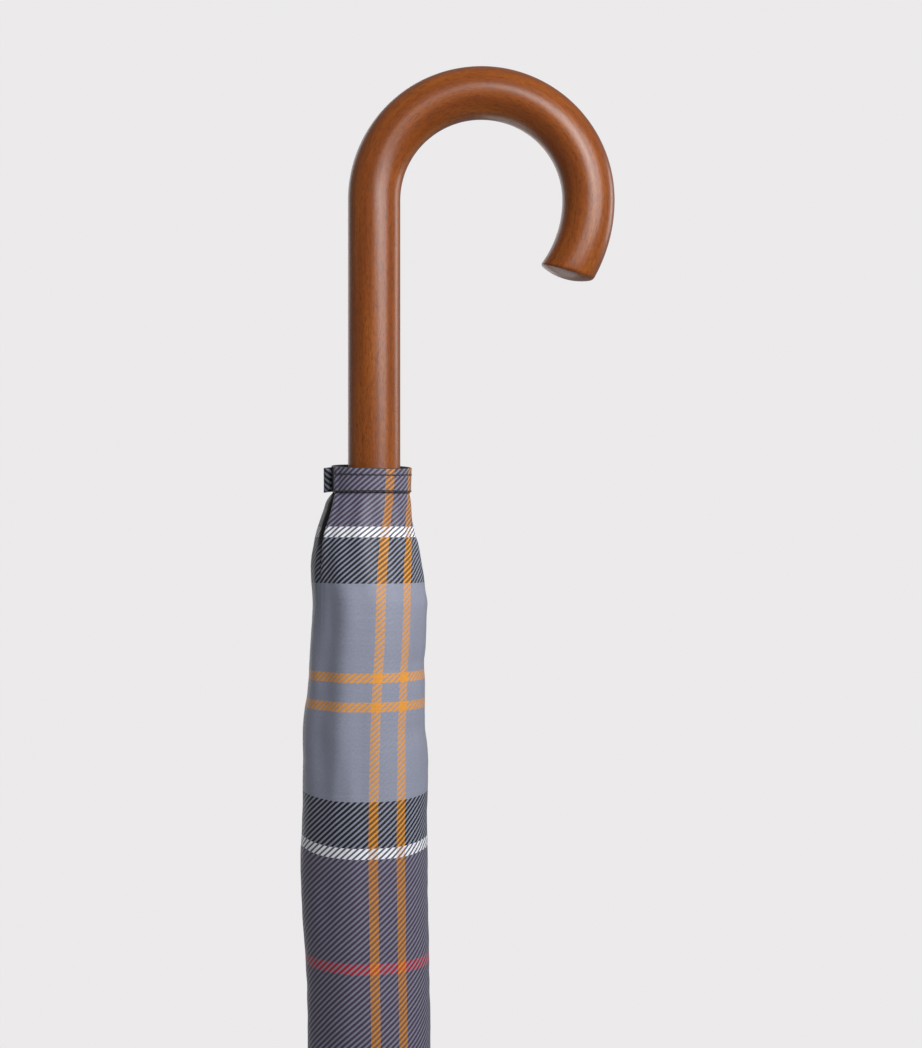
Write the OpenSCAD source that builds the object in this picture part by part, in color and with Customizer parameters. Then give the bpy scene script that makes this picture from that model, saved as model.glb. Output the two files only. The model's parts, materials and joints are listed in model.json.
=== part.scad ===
// Stick umbrella, closed, in its fabric sleeve: bent wooden crook, steel shaft, eight ribs with
// stretchers on a runner, furled canopy and closing strap.
// The origin is the end of the tip, on the shaft's axis. +Z runs up the shaft to the handle, and
// +X points to the open side of the crook. The ribs stand 45 degrees apart, rib 1 on +X.

/* [Handle] */
// Overall length, from the end of the tip to the top of the crook
total_len = 900; // [890:1:940]
// Radius of the wooden handle
handle_r = 11; // [10.5:0.1:12]
// Radius of the crook's bend, on its centre line
crook_r = 45; // [40:1:55]
// Radius of the wider arc that opens the hook's end, on its centre line
hook_r = 56; // [50:1:65]
// How far that arc goes down past horizontal, in degrees
hook_past = 33; // [15:1:40]
// Slope of the end's face, in degrees from horizontal
tail_slope = 16; // [0:1:30]
// How far the end's face bulges
tail_bulge = 2.5; // [1:0.1:4]

/* [Shaft] */
// Wall of the steel shaft
shaft_wall = 0.8; // [0.6:0.1:1]
// Radius of the end of the tip
tip_r = 4.5; // [4:0.1:4.6]
// Length of the tip's cap
tip_len = 14; // [10:1:16]

/* [Frame] */
// Length of a rib, from its pivot to the end of its ball tip
rib_len = 614; // [606:1:616]
// Length of each of the two equal links, pivot to pivot
link_len = 278; // [270:1:280]
// Height of the rib pivots
notch_z = 68; // [68:1:70]
// Radius of the pivot holes
eye_bore = 0.6; // [0.58:0.01:0.62]

/* [Canopy] */
// Outer radius of the furled canopy
furl_r = 20.5; // [18:0.1:20.5]
// Height of the closing strap's lower edge
strap_z = 590; // [400:1:600]
// Width of the closing strap
strap_w = 20; // [15:1:24]

/* [Sleeve] */
// Thickness of the sleeve's cloth wall
sleeve_wall = 0.6; // [0.4:0.1:0.6]
// Height of the sleeve's mouth
mouth_z = 732; // [730:1:736]
// Width of the stitched band round the mouth
hem_w = 10.5; // [8:0.5:10.5]

/* [Hidden] */
$fn = 64;
rib_count = 8;
numbers = [for (k = [1:rib_count]) k];

wood = [0.62, 0.33, 0.15];
steel = [0.72, 0.73, 0.75];
black_steel = [0.16, 0.16, 0.18];
nickel = [0.8, 0.79, 0.76];
plastic = [0.08, 0.08, 0.09];
cloth = [0.42, 0.43, 0.5];
dark_cloth = [0.2, 0.2, 0.25];

tiny = 0.01;
shaft_r = 5;
// Radius of the circle that the pivots stand on
pivot_r = 7;
joint_z = notch_z + link_len;
runner_z = joint_z + link_len;
tip_ball_len = 8;
rib_end_z = notch_z + rib_len - tip_ball_len;
collar_z = notch_z + rib_len + 2;
collar_len = 14;
collar_wall = 0.6;
foot_z = collar_z + 2;
crook_z = total_len - crook_r - handle_r;
hook_x = 2 * crook_r - hook_r;
shaft_z = 40;
shaft_top = 750;
crown_z = 58;
cap_thick = 1.5;
washer_low = crown_z + 2;
washer_top = crown_z + 4;
catch_angle = 22.5;
strap_rib = 5;

// Rib channel, in its own plane: x is the distance from the shaft's axis, y runs round the shaft
rib_in = 9;
rib_deep = 3;
rib_wide = 3.2;
sheet = 0.5;
lug = 1.2;
eye_r = 1.3;
bar_wide = 2.6;
bar_deep = 2;

// Slotted rings that hold the pivots
ring_r = 8.6;
slot_w = 1.6;
slot_in = 5.6;
wire_r = 0.45;
groove_w = 1;

// Places a part in the plane of rib k
module at_rib(k) {
    rotate([0, 0, (k - 1) * 360 / rib_count]) children();
}

// A plate whose outline is drawn as distance from the axis and height, centred on the rib's plane
module plate(thick) {
    translate([0, thick / 2, 0]) rotate([90, 0, 0]) linear_extrude(thick) children();
}

// A ring round the shaft: inner radius, outer radius, bottom and top
module ring(inner, outer, low, high) {
    translate([0, 0, low]) difference() {
        cylinder(r = outer, h = high - low);
        translate([0, 0, -1]) cylinder(r = inner, h = high - low + 2);
    }
}

// A straight pin along the tangent, through the point on the pivot circle at height z
module tangent_pin(r, length, z) {
    translate([pivot_r, length / 2, z]) rotate([90, 0, 0]) cylinder(r = r, h = length, $fn = 32);
}

// ---- Handle ----

module crook_bend() {
    translate([crook_r, 0, crook_z]) rotate([90, 0, 0])
        rotate_extrude(angle = 180, $fn = 128) translate([crook_r, 0]) circle(r = handle_r);
    translate([hook_x, 0, crook_z]) rotate([90, 0, 0]) mirror([0, 1, 0])
        rotate_extrude(angle = hook_past + 8, $fn = 128) translate([hook_r, 0]) circle(r = handle_r);
}

// What is cut away past the hook's end: all that lies outside a large sphere, so the end is domed
module past_end() {
    face = [hook_x + hook_r * cos(hook_past), 0, crook_z - hook_r * sin(hook_past)];
    dome_r = (pow(handle_r, 2) + pow(tail_bulge, 2)) / (2 * tail_bulge);
    dome = face + (dome_r - tail_bulge) * [sin(tail_slope), 0, cos(tail_slope)];
    block = [4 * handle_r, 4 * handle_r, 3 * handle_r];
    overlap = 6;
    difference() {
        translate(face) rotate([0, 180 + hook_past, 0])
            translate([-block.x / 2, -block.y / 2, -overlap]) cube(block);
        translate(dome) sphere(r = dome_r, $fn = 128);
    }
}

module handle() {
    color(wood) difference() {
        union() {
            crook_bend();
            translate([0, 0, collar_z + collar_len])
                cylinder(r = handle_r, h = crook_z - collar_z - collar_len);
            translate([0, 0, foot_z]) cylinder(r = handle_r - collar_wall, h = collar_len);
        }
        past_end();
        translate([0, 0, foot_z - 1]) cylinder(r = shaft_r, h = shaft_top - foot_z + 1);
    }
}

module handle_collar() {
    color(nickel) {
        difference() {
            ring(shaft_r + 0.1, handle_r, collar_z, collar_z + collar_len);
            translate([0, 0, foot_z])
                cylinder(r = handle_r - collar_wall, h = collar_len);
        }
    }
}

// ---- Shaft and tip ----

module shaft() {
    color(black_steel) difference() {
        ring(shaft_r - shaft_wall, shaft_r, shaft_z, shaft_top);
        stopper_hole();
        catch_slot(bottom_nose_z);
        catch_slot(top_nose_z);
    }
}

spigot_r = 2.5;
spigot_len = 8;

module tip_cap() {
    chamfer = 0.8;
    spigot_top = tip_len + spigot_len;
    color(plastic) rotate_extrude() polygon([[0, 0], [tip_r - chamfer, 0], [tip_r, chamfer],
        [tip_r, tip_len], [spigot_r, tip_len], [spigot_r, spigot_top], [0, spigot_top]]);
}

module ferrule() {
    end_r = 4.8;
    waist_r = 6.3;
    neck_r = 6.6;
    flange_r = 9;
    flange_z = crown_z - 3;
    color(steel) difference() {
        rotate_extrude() polygon([[0, tip_len], [end_r, tip_len], [waist_r, shaft_z - 2],
            [neck_r, flange_z - 1], [flange_r, flange_z], [flange_r, crown_z], [0, crown_z]]);
        translate([0, 0, tip_len - 1]) cylinder(r = spigot_r, h = spigot_len + 1);
        translate([0, 0, shaft_z]) cylinder(r = shaft_r, h = crown_z);
    }
}

module crown_cap() {
    cap_r = 14;
    color(nickel) ring(shaft_r, cap_r, crown_z, crown_z + cap_thick);
}

module crown_washer() {
    washer_r = 12;
    color(plastic) ring(shaft_r, washer_r, washer_low, washer_top);
}

// ---- Pivot rings ----

// Eight radial slots, from low to high, that the flat eyes of ribs or stretchers turn in
module slots(low, high) {
    for (k = numbers) at_rib(k)
        translate([slot_in, -slot_w / 2, low]) cube([ring_r, slot_w, high - low]);
}

module wire_groove(z) {
    translate([0, 0, z - groove_w / 2]) rotate_extrude()
        translate([pivot_r - groove_w / 2, 0]) square([ring_r, groove_w]);
}

module wire(z) {
    color(steel) translate([0, 0, z]) rotate_extrude($fn = 96)
        translate([pivot_r, 0]) circle(r = wire_r, $fn = 24);
}

module notch() {
    notch_top = notch_z + 6;
    slot_low = notch_z - 3.5;
    color(steel) difference() {
        ring(shaft_r, ring_r, washer_top, notch_top);
        slots(slot_low, notch_top + 1);
        wire_groove(notch_z);
    }
}

module notch_wire() {
    wire(notch_z);
}

// ---- Runner ----

runner_bore = 5.15;
head_below = 4;
head_above = 3;
tube_r = 6.8;
tube_top = runner_z + 48;
bead_r = 7.7;
bead_len = 4;
bottom_nose_z = runner_z + 31;
nose_len = 5;

module runner() {
    color(steel) difference() {
        union() {
            ring(runner_bore, ring_r, runner_z - head_below, runner_z + head_above);
            ring(runner_bore, tube_r, runner_z + head_above - tiny, tube_top);
            ring(runner_bore, bead_r, tube_top - bead_len, tube_top);
        }
        slots(runner_z - head_below - 1, runner_z + head_above / 2);
        wire_groove(runner_z);
        runner_window();
    }
}

module runner_window() {
    window = [5, 3, nose_len + 2.5];
    rotate([0, 0, catch_angle])
        translate([shaft_r - 1, -window.y / 2, bottom_nose_z - window.y / 2]) cube(window);
}

module runner_wire() {
    wire(runner_z);
}

// ---- Catches and stop ----

// Where the runner's crown and the end of its tube come to when the umbrella is open
open_angle = 75;
open_pivot_z = notch_z + 2 * link_len * cos(open_angle);
catch_play = 0.4;
top_nose_z = open_pivot_z + tube_top - runner_z + catch_play;
nose_r = 6.6;
ramp_r = 4.5;
blade_in = 2.3;
blade_out = 2.9;
blade_top = 10;
blade_len = 30;
catch_wide = 1.6;

module catch_slot(z) {
    slot = [5, 2, nose_len + 1];
    rotate([0, 0, catch_angle]) translate([2, -slot.y / 2, z - 0.5]) cube(slot);
}

// A flat spring inside the shaft. Its nose stands out through the slot, with the ramp on the side
// that the runner comes from: ramp_low for the one that holds the runner closed.
module catch_spring(z, ramp_low) {
    low_r = ramp_low ? ramp_r : nose_r;
    high_r = ramp_low ? nose_r : ramp_r;
    flat_low = z + (ramp_low ? 3 : 0);
    flat_high = z + (ramp_low ? nose_len : 2);
    end_z = z - blade_len;
    foot_end = end_z - 4;
    rotate([0, 0, catch_angle]) plate(catch_wide) polygon([[blade_out + 1, foot_end],
        [blade_out + 1, foot_end + 1], [blade_out, end_z], [blade_out, z], [low_r, z], [nose_r, flat_low],
        [nose_r, flat_high], [high_r, z + nose_len], [blade_out, z + nose_len],
        [blade_out, z + blade_top], [blade_in, z + blade_top], [blade_in, end_z],
        [blade_in + 1, foot_end]]);
}

module bottom_catch() {
    color(nickel) catch_spring(bottom_nose_z, true);
}

module top_catch() {
    color(nickel) catch_spring(top_nose_z, false);
}

stopper_r = 1.2;
stopper_len = 13;
stopper_gap = 0.6;
stopper_z = open_pivot_z - head_below - stopper_gap - stopper_r;

module stopper(r, length) {
    rotate([0, 0, catch_angle]) translate([-length / 2, 0, stopper_z]) rotate([0, 90, 0])
        cylinder(r = r, h = length, $fn = 32);
}

module stopper_hole() {
    stopper(stopper_r + 0.02, 3 * shaft_r);
}

module stopper_pin() {
    color(steel) stopper(stopper_r, stopper_len);
}

// ---- Ribs and stretchers ----

// A sheet-metal channel along Z, open towards the shaft or away from it
module channel(inner, deep, wide, low, high, open_in) {
    difference() {
        translate([inner, -wide / 2, low]) cube([deep, wide, high - low]);
        translate([inner + (open_in ? -1 : sheet), -wide / 2 + sheet, low - 1])
            cube([deep + 1 - sheet, wide - 2 * sheet, high - low + 2]);
    }
}

module eye(z) {
    translate([pivot_r, z]) circle(r = eye_r);
}

// The flat neck that leads from a rib's pivot out to its channel
module rib_neck() {
    web_x = rib_in + rib_deep - sheet / 2;
    half = 1.1;
    low = notch_z - 0.7;
    bend_z = notch_z + 2.5;
    channel_z = notch_z + 5.5;
    top = notch_z + 15;
    polygon([[pivot_r - half, low], [pivot_r + half, low], [web_x, channel_z], [web_x, top],
        [rib_in + 0.4, top], [pivot_r - half, bend_z]]);
}

// The lug that a stretcher's fork straddles
module rib_lug() {
    web_x = rib_in + rib_deep - sheet / 2;
    half = 0.9;
    root = 5;
    polygon([[pivot_r - half, joint_z - half], [web_x, joint_z - root], [web_x, joint_z + root],
        [pivot_r - half, joint_z + half]]);
}

module rib(k) {
    channel_z = notch_z + 5;
    color(black_steel) at_rib(k) difference() {
        union() {
            channel(rib_in, rib_deep, rib_wide, channel_z, rib_end_z, true);
            plate(lug) {
                eye(notch_z);
                rib_neck();
                eye(joint_z);
                rib_lug();
            }
        }
        tangent_pin(eye_bore, 2 * lug, notch_z);
        tangent_pin(eye_bore, 2 * lug, joint_z);
    }
}

// The ball tip that the canopy's corner is sewn to
module rib_tip(k) {
    ball_r = 2.2;
    color(nickel) at_rib(k) translate([rib_in + rib_deep / 2, 0, rib_end_z]) {
        cylinder(r = ball_r, h = tip_ball_len - ball_r);
        translate([0, 0, tip_ball_len - ball_r]) sphere(r = ball_r);
    }
}

module rivet(k) {
    head_r = 1;
    head_thick = 0.35;
    head_in = bar_wide / 2 + 0.05;
    color(nickel) at_rib(k) {
        tangent_pin(eye_bore - 0.02, 2 * head_in, joint_z);
        for (side = [0, 1]) mirror([0, side, 0])
            translate([pivot_r, head_in + head_thick, joint_z]) rotate([90, 0, 0])
                cylinder(r = head_r, h = head_thick, $fn = 32);
    }
}

module stretcher(k) {
    fork_in = lug / 2 + 0.05;
    fork_len = 10;
    fork_gap = [4, 2 * fork_in, 9];
    tongue_len = 18;
    bar_in = pivot_r - bar_deep / 2;
    color(black_steel) at_rib(k) difference() {
        union() {
            channel(bar_in, bar_deep, bar_wide, joint_z + 8, runner_z - 10, false);
            plate(bar_wide) {
                eye(joint_z);
                translate([bar_in, joint_z]) square([bar_deep, fork_len]);
            }
            plate(lug) {
                eye(runner_z);
                translate([bar_in, runner_z - tongue_len]) square([bar_deep, tongue_len]);
            }
        }
        // the gap of the fork, which the rib's lug stands in
        translate([pivot_r - fork_gap.x / 2, -fork_in, joint_z - 2]) cube(fork_gap);
        tangent_pin(eye_bore + 0.05, 2 * bar_wide, joint_z);
        tangent_pin(eye_bore, 2 * lug, runner_z);
    }
}

// ---- Canopy ----

// One furled gore: a wedge between two ribs, narrow at the crown
module canopy_panel(k) {
    gap = 0.8;
    in_r = rib_in + rib_deep + gap;
    crown_r = 14.6;
    low = washer_top + 0.5;
    full_z = 160;
    taper_z = strap_z + 50;
    top = rib_end_z - 6;
    color(cloth) at_rib(k) rotate([0, 0, gap]) rotate_extrude(angle = 360 / rib_count - 2 * gap)
        polygon([[in_r, low], [crown_r, low], [furl_r, full_z], [furl_r, taper_z],
            [furl_r - 1, top], [in_r, top]]);
}

strap_in = furl_r + 0.1;
strap_out = furl_r + 0.5;
socket_thick = 1;

module strap() {
    color(dark_cloth) ring(strap_in, strap_out, strap_z, strap_z + strap_w);
}

// Puts a round stud on the strap, over the rib that the strap is sewn to
module on_strap() {
    at_rib(strap_rib) translate([strap_out, 0, strap_z + strap_w / 2]) rotate([0, 90, 0]) children();
}

module stud_socket() {
    color(nickel) on_strap() cylinder(r = 5, h = socket_thick);
}

module stud_cap() {
    brim = 0.8;
    button = 0.6;
    color(nickel) on_strap() translate([0, 0, socket_thick]) {
        cylinder(r = 6, h = brim);
        translate([0, 0, brim]) cylinder(r = 4.5, h = button);
    }
}

// ---- Sleeve ----

// Outline of the sleeve, from its end at the ferrule up to its mouth. Each row holds the height,
// the left and right edges along X, and half the depth along Y.
hem_z = mouth_z - hem_w;
sleeve_rows = [
    [44, -9.6, 9.6, 9.6],
    [54, -15.8, 15.6, 15.6],
    [75, -19, 18, 18],
    [130, -22.5, 21.8, 21.8],
    [200, -25, 22.8, 22.6],
    [360, -27.5, 23.6, 23.4],
    [490, -27.8, 23.8, 23.6],
    [560, -30.2, 23.1, 23.6],
    [615, -29.6, 22.3, 23.4],
    [645, -27.6, 21, 22.8],
    [674, -26.1, 22.3, 22.2],
    [694, -26.5, 19.3, 18.8],
    [704, -24.8, 16.8, 16.2],
    [714, -21.8, 15.5, 14.6],
    [hem_z - 0.3, -19.8, 15.1, 14],
];
hem_rows = [[hem_z, -18.4, 15.1, 14], [mouth_z, -17.6, 15, 13.6]];
sleeve_sides = 48;

// A point of the wall: its row, its angle round the sleeve, and how far in from the outside
function wall_point(row, turn, inset) =
    let (middle = (row[1] + row[2]) / 2, half = (row[2] - row[1]) / 2 - inset)
    [middle + half * cos(turn), (row[3] - inset) * sin(turn), row[0]];

// A thin tube through the rows, open at both ends
module cloth_tube(rows) {
    n = sleeve_sides;
    m = len(rows);
    points = [for (inset = [0, sleeve_wall]) for (row = rows) for (i = [0:n - 1])
        wall_point(row, i * 360 / n, inset)];
    outside = [for (j = [0:m - 2]) for (i = [0:n - 1])
        [j * n + i, (j + 1) * n + i, (j + 1) * n + (i + 1) % n, j * n + (i + 1) % n]];
    inside = [for (face = outside) [for (i = [3:-1:0]) face[i] + m * n]];
    bottom = [for (i = [0:n - 1]) [i, (i + 1) % n, m * n + (i + 1) % n, m * n + i]];
    top = [for (face = bottom) [for (i = [3:-1:0]) face[i] + (m - 1) * n]];
    polyhedron(points, concat(outside, inside, bottom, top));
}

module sleeve() {
    color(cloth) cloth_tube(sleeve_rows);
}

module sleeve_hem() {
    color(cloth) cloth_tube(hem_rows);
}

// The folded tab at the side seam
module sleeve_tab() {
    tab = [2.6, 5, hem_w - 1];
    gap = 0.9;
    color(dark_cloth) translate([hem_rows[1][1] - tab.x - gap, -tab.y / 2, hem_z + 0.5]) cube(tab);
}

handle();
handle_collar();
shaft();
tip_cap();
ferrule();
crown_cap();
crown_washer();
notch();
notch_wire();
stopper_pin();
bottom_catch();
top_catch();
runner();
runner_wire();
for (k = numbers) rib(k);
for (k = numbers) rib_tip(k);
for (k = numbers) rivet(k);
for (k = numbers) stretcher(k);
for (k = numbers) canopy_panel(k);
strap();
stud_cap();
stud_socket();
sleeve();
sleeve_hem();
sleeve_tab();
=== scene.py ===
import json
import math

import bpy
import numpy as np
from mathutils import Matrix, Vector, noise


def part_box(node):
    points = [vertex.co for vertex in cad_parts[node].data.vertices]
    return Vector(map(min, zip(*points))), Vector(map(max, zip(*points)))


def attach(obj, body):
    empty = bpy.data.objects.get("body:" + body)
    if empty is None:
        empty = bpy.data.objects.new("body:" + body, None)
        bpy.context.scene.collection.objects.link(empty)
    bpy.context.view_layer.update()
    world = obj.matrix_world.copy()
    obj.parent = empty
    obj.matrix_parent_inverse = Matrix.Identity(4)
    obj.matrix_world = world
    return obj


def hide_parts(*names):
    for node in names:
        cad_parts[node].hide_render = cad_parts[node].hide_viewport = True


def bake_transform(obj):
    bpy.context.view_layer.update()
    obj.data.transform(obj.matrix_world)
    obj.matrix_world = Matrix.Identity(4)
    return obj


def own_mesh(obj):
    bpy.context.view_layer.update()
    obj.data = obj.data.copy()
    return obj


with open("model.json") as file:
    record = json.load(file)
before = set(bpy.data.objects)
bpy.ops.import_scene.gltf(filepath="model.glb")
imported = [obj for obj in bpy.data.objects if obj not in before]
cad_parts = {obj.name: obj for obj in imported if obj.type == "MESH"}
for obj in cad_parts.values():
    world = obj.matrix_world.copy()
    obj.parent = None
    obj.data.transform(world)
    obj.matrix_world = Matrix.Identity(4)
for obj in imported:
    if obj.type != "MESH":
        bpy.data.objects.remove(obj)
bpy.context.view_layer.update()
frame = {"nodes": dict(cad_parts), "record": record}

MM = 0.001


# ---- Camera ----

VIEW_CENTRE = Vector((36.5, 0, 708)) * MM
VIEW_HEIGHT = 440.2 * MM
VIEW_DISTANCE = 750 * MM
SENSOR_HEIGHT = 24.0


def make_camera():
    data = bpy.data.cameras.new("camera")
    data.sensor_fit = "VERTICAL"
    data.sensor_height = SENSOR_HEIGHT
    data.lens = SENSOR_HEIGHT * VIEW_DISTANCE / VIEW_HEIGHT
    camera = bpy.data.objects.new("camera", data)
    bpy.context.scene.collection.objects.link(camera)
    camera.location = VIEW_CENTRE - Vector((0, VIEW_DISTANCE, 0))
    camera.rotation_euler = (math.radians(90), 0, 0)
    bpy.context.scene.camera = camera


make_camera()


# ---- Shader helpers ----


def srgb(red, green, blue):
    """A colour in the 0 to 255 of a paint chart, as the linear values that a shader takes."""
    out = []
    for c in (red, green, blue):
        c /= 255
        out.append(c / 12.92 if c <= 0.04045 else ((c + 0.055) / 1.055) ** 2.4)
    return (*out, 1.0)


class Shader:
    """One Principled material, with short ways to add nodes to it."""

    def __init__(self, name, **constants):
        self.material = bpy.data.materials.new(name)
        self.material.use_nodes = True
        self.tree = self.material.node_tree
        self.surface = self.tree.nodes["Principled BSDF"]
        for socket, value in constants.items():
            self.surface.inputs[socket.replace("_", " ")].default_value = value

    def node(self, kind, inputs=None, **settings):
        node = self.tree.nodes.new(kind)
        for name, value in settings.items():
            setattr(node, name, value)
        for name, value in (inputs or {}).items():
            self.feed(node.inputs[name], value)
        return node

    def feed(self, socket, value):
        if isinstance(value, bpy.types.NodeSocket):
            self.tree.links.new(value, socket)
        else:
            socket.default_value = value

    def calc(self, operation, a, b=0.0, c=0.0):
        node = self.node("ShaderNodeMath", {0: a, 1: b, 2: c}, operation=operation)
        return node.outputs[0]

    def mix(self, amount, a, b, blend="MIX"):
        node = self.node("ShaderNodeMix", data_type="RGBA", blend_type=blend)
        self.feed(node.inputs["Factor"], amount)
        self.feed(node.inputs[6], a)
        self.feed(node.inputs[7], b)
        return node.outputs[2]

    def ramp(self, amount, stops, steps=False):
        node = self.node("ShaderNodeValToRGB", {0: amount})
        ramp = node.color_ramp
        ramp.interpolation = "CONSTANT" if steps else "LINEAR"
        while len(ramp.elements) < len(stops):
            ramp.elements.new(0.5)
        for element, (place, colour) in zip(ramp.elements, stops):
            element.position = place
            element.color = colour
        return node.outputs[0]

    def noise(self, vector, scale, detail=3.0, roughness=0.5, stretch=None):
        if stretch:
            scaled = self.node("ShaderNodeVectorMath", {0: vector, 1: stretch}, operation="MULTIPLY")
            vector = scaled.outputs[0]
        inputs = {"Vector": vector, "Scale": scale, "Detail": detail, "Roughness": roughness}
        node = self.node("ShaderNodeTexNoise", inputs)
        return node.outputs["Fac"]

    def attribute(self, name):
        return self.node("ShaderNodeAttribute", attribute_name=name).outputs["Vector"]

    def object_place(self):
        return self.node("ShaderNodeTexCoord").outputs["Object"]

    def bump(self, height, distance, strength=1.0, under=None):
        node = self.node("ShaderNodeBump", {"Height": height, "Distance": distance, "Strength": strength})
        if under:
            self.feed(node.inputs["Normal"], under)
        return node.outputs["Normal"]

    def set(self, **sockets):
        for name, value in sockets.items():
            self.feed(self.surface.inputs[name.replace("_", " ")], value)


def grey(value):
    return (value, value, value, 1.0)


# ---- Materials ----


def wood_material():
    """Stained hardwood under satin lacquer. Its pattern lies along the straight rod that was bent."""
    m = Shader("stained_wood", Coat_Weight=0.45, Coat_Roughness=0.26, Specular_IOR_Level=0.18)
    rod = m.attribute("rod")
    broad = m.noise(rod, 1.0, 4.0, 0.55, stretch=(150, 150, 16))
    growth = m.noise(rod, 1.0, 2.0, 0.5, stretch=(520, 520, 9))
    pores = m.noise(rod, 1.0, 2.0, 0.6, stretch=(2900, 2900, 480))
    dashes = m.noise(rod, 1.0, 1.0, 0.5, stretch=(1700, 1700, 240))
    base = m.ramp(broad, [(0.28, srgb(106, 50, 6)), (0.5, srgb(123, 61, 8)), (0.72, srgb(142, 77, 13))])
    base = m.mix(m.ramp(growth, [(0.42, grey(0)), (0.66, grey(0.32))]), base, srgb(98, 44, 8))
    base = m.mix(m.ramp(dashes, [(0.55, grey(0)), (0.7, grey(0.4))]), base, srgb(76, 33, 8))
    base = m.mix(m.ramp(pores, [(0.5, grey(0)), (0.7, grey(0.75))]), base, srgb(76, 34, 9))
    m.set(Base_Color=base, Roughness=m.calc("MULTIPLY_ADD", broad, 0.1, 0.38))
    fine = m.bump(pores, 0.00003, 0.35)
    m.set(Normal=m.bump(broad, 0.0003, 0.25, under=fine))
    return m.material


# Half of the plaid's repeat, counted from the middle of the pair of amber lines: where each
# colour starts, in mm. A line's own colour shows a little where other yarn lies over it, and the
# yarn over the thick white line sinks into its shadow.
BLOCK = srgb(126, 130, 146)
AMBER = srgb(202, 137, 54)
BLACK = srgb(13, 13, 20)
WHITE = srgb(222, 222, 230)
PLUM = srgb(62, 49, 69)
RED = srgb(146, 8, 32)
PLAID_STEPS = [
    (0, BLOCK), (3.7, AMBER), (7.8, BLOCK), (44, BLACK), (63.3, WHITE), (67.6, PLUM), (110.4, RED),
]
SHOW_THROUGH = {AMBER: 0.24, RED: 0.12, PLUM: 0.22}
SUNK = {WHITE: 0.3}
PLAID_HALF = 112.6
TWILL_ACROSS = 2.7
TWILL_UP = 2.35


def plaid_material(name):
    """Woven twill.

    The attribute cloth holds each place across and up the cloth, and how much painted shade darkens it
    there, towards near-black.
    """
    m = Shader(name, Roughness=0.5, Sheen_Weight=0.05, Sheen_Roughness=0.4, Specular_IOR_Level=0.24)
    cloth = m.node("ShaderNodeSeparateXYZ", {0: m.attribute("cloth")}).outputs
    across = m.calc("MULTIPLY", cloth[0], 1 / MM)
    up = m.calc("MULTIPLY", cloth[1], 1 / MM)
    colours = [(start / PLAID_HALF, colour) for start, colour in PLAID_STEPS]
    shows = [(start / PLAID_HALF, grey(SHOW_THROUGH.get(colour, 0.02))) for start, colour in PLAID_STEPS]
    sinks = [(start / PLAID_HALF, grey(SUNK.get(colour, 1.0))) for start, colour in PLAID_STEPS]

    def yarn(place):
        folded = m.calc("DIVIDE", m.calc("PINGPONG", place, PLAID_HALF), PLAID_HALF)
        return [m.ramp(folded, stops, steps=True) for stops in (colours, shows, sinks)]

    warp, warp_shows, warp_sinks = yarn(across)
    weft, weft_shows, weft_sinks = yarn(up)
    phase = m.calc("SUBTRACT", m.calc("DIVIDE", across, TWILL_ACROSS), m.calc("DIVIDE", up, TWILL_UP))
    wave = m.calc("MULTIPLY", m.calc("PINGPONG", phase, 0.5), 2.0)
    over = m.ramp(wave, [(0.45, grey(0)), (0.67, grey(1))])
    room = m.calc("SUBTRACT", m.calc("SUBTRACT", 1.0, warp_shows), weft_shows)
    over_warp = m.mix(1.0, weft, warp_sinks, "MULTIPLY")
    over_weft = m.mix(1.0, warp, weft_sinks, "MULTIPLY")
    colour = m.mix(m.calc("MULTIPLY_ADD", over, room, warp_shows), over_warp, over_weft)
    threads = m.noise(m.attribute("cloth"), 1.0, 2.0, 0.6, stretch=(2600, 700, 0))
    picks = m.noise(m.attribute("cloth"), 1.0, 2.0, 0.6, stretch=(700, 2600, 0))
    worn = m.calc("MULTIPLY_ADD", m.calc("ADD", threads, picks), 0.34, 0.66)
    tint = m.node("ShaderNodeCombineColor", {0: worn, 1: worn, 2: worn}).outputs[0]
    # Painted shade: the third value of cloth mixes the colour towards near-black in the pleat, the seams and
    # the side fold.
    colour = m.mix(cloth[2], m.mix(1.0, colour, tint, "MULTIPLY"), srgb(10, 9, 12))
    m.set(Base_Color=colour)
    crease = m.noise(m.attribute("cloth"), 1.0, 3.0, 0.6, stretch=(60, 620, 0))
    weave = m.bump(m.calc("ADD", threads, picks), 0.00008, 0.5)
    creased = m.bump(crease, 0.00035, 0.4, under=weave)
    m.set(Normal=m.bump(wave, 0.00012, 0.35, under=creased))
    return m.material


def lining_material():
    m = Shader("dark_lining", Roughness=0.7, Sheen_Weight=0.1)
    shade = m.noise(m.object_place(), 900.0, 3.0)
    m.set(Base_Color=m.ramp(shade, [(0.3, srgb(12, 12, 16)), (0.7, srgb(30, 29, 36))]))
    m.set(Normal=m.bump(shade, 0.0001, 0.4))
    return m.material


def thread_material():
    m = Shader("black_thread", Roughness=0.55, Sheen_Weight=0.2)
    place = m.object_place()
    inputs = {"Vector": place, "Scale": 900.0, "Distortion": 1.0}
    twist = m.node("ShaderNodeTexWave", inputs, bands_direction="DIAGONAL").outputs["Fac"]
    m.set(Base_Color=m.ramp(twist, [(0.2, srgb(10, 10, 14)), (0.8, srgb(34, 33, 42))]))
    m.set(Normal=m.bump(twist, 0.00005, 0.6))
    return m.material


def plated_material(name, light, dark, rough, scratch):
    """Plated metal, with fine scratches along the shaft and slightly worn patches."""
    m = Shader(name, Metallic=1.0)
    place = m.object_place()
    wear = m.noise(place, 260.0, 4.0)
    lines = m.noise(place, 1.0, 2.0, 0.5, stretch=(2400, 2400, 120))
    m.set(Base_Color=m.ramp(wear, [(0.3, dark), (0.7, light)]))
    m.set(Roughness=m.calc("MULTIPLY_ADD", lines, 0.2, rough))
    m.set(Normal=m.bump(lines, scratch, 0.5))
    return m.material


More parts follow.
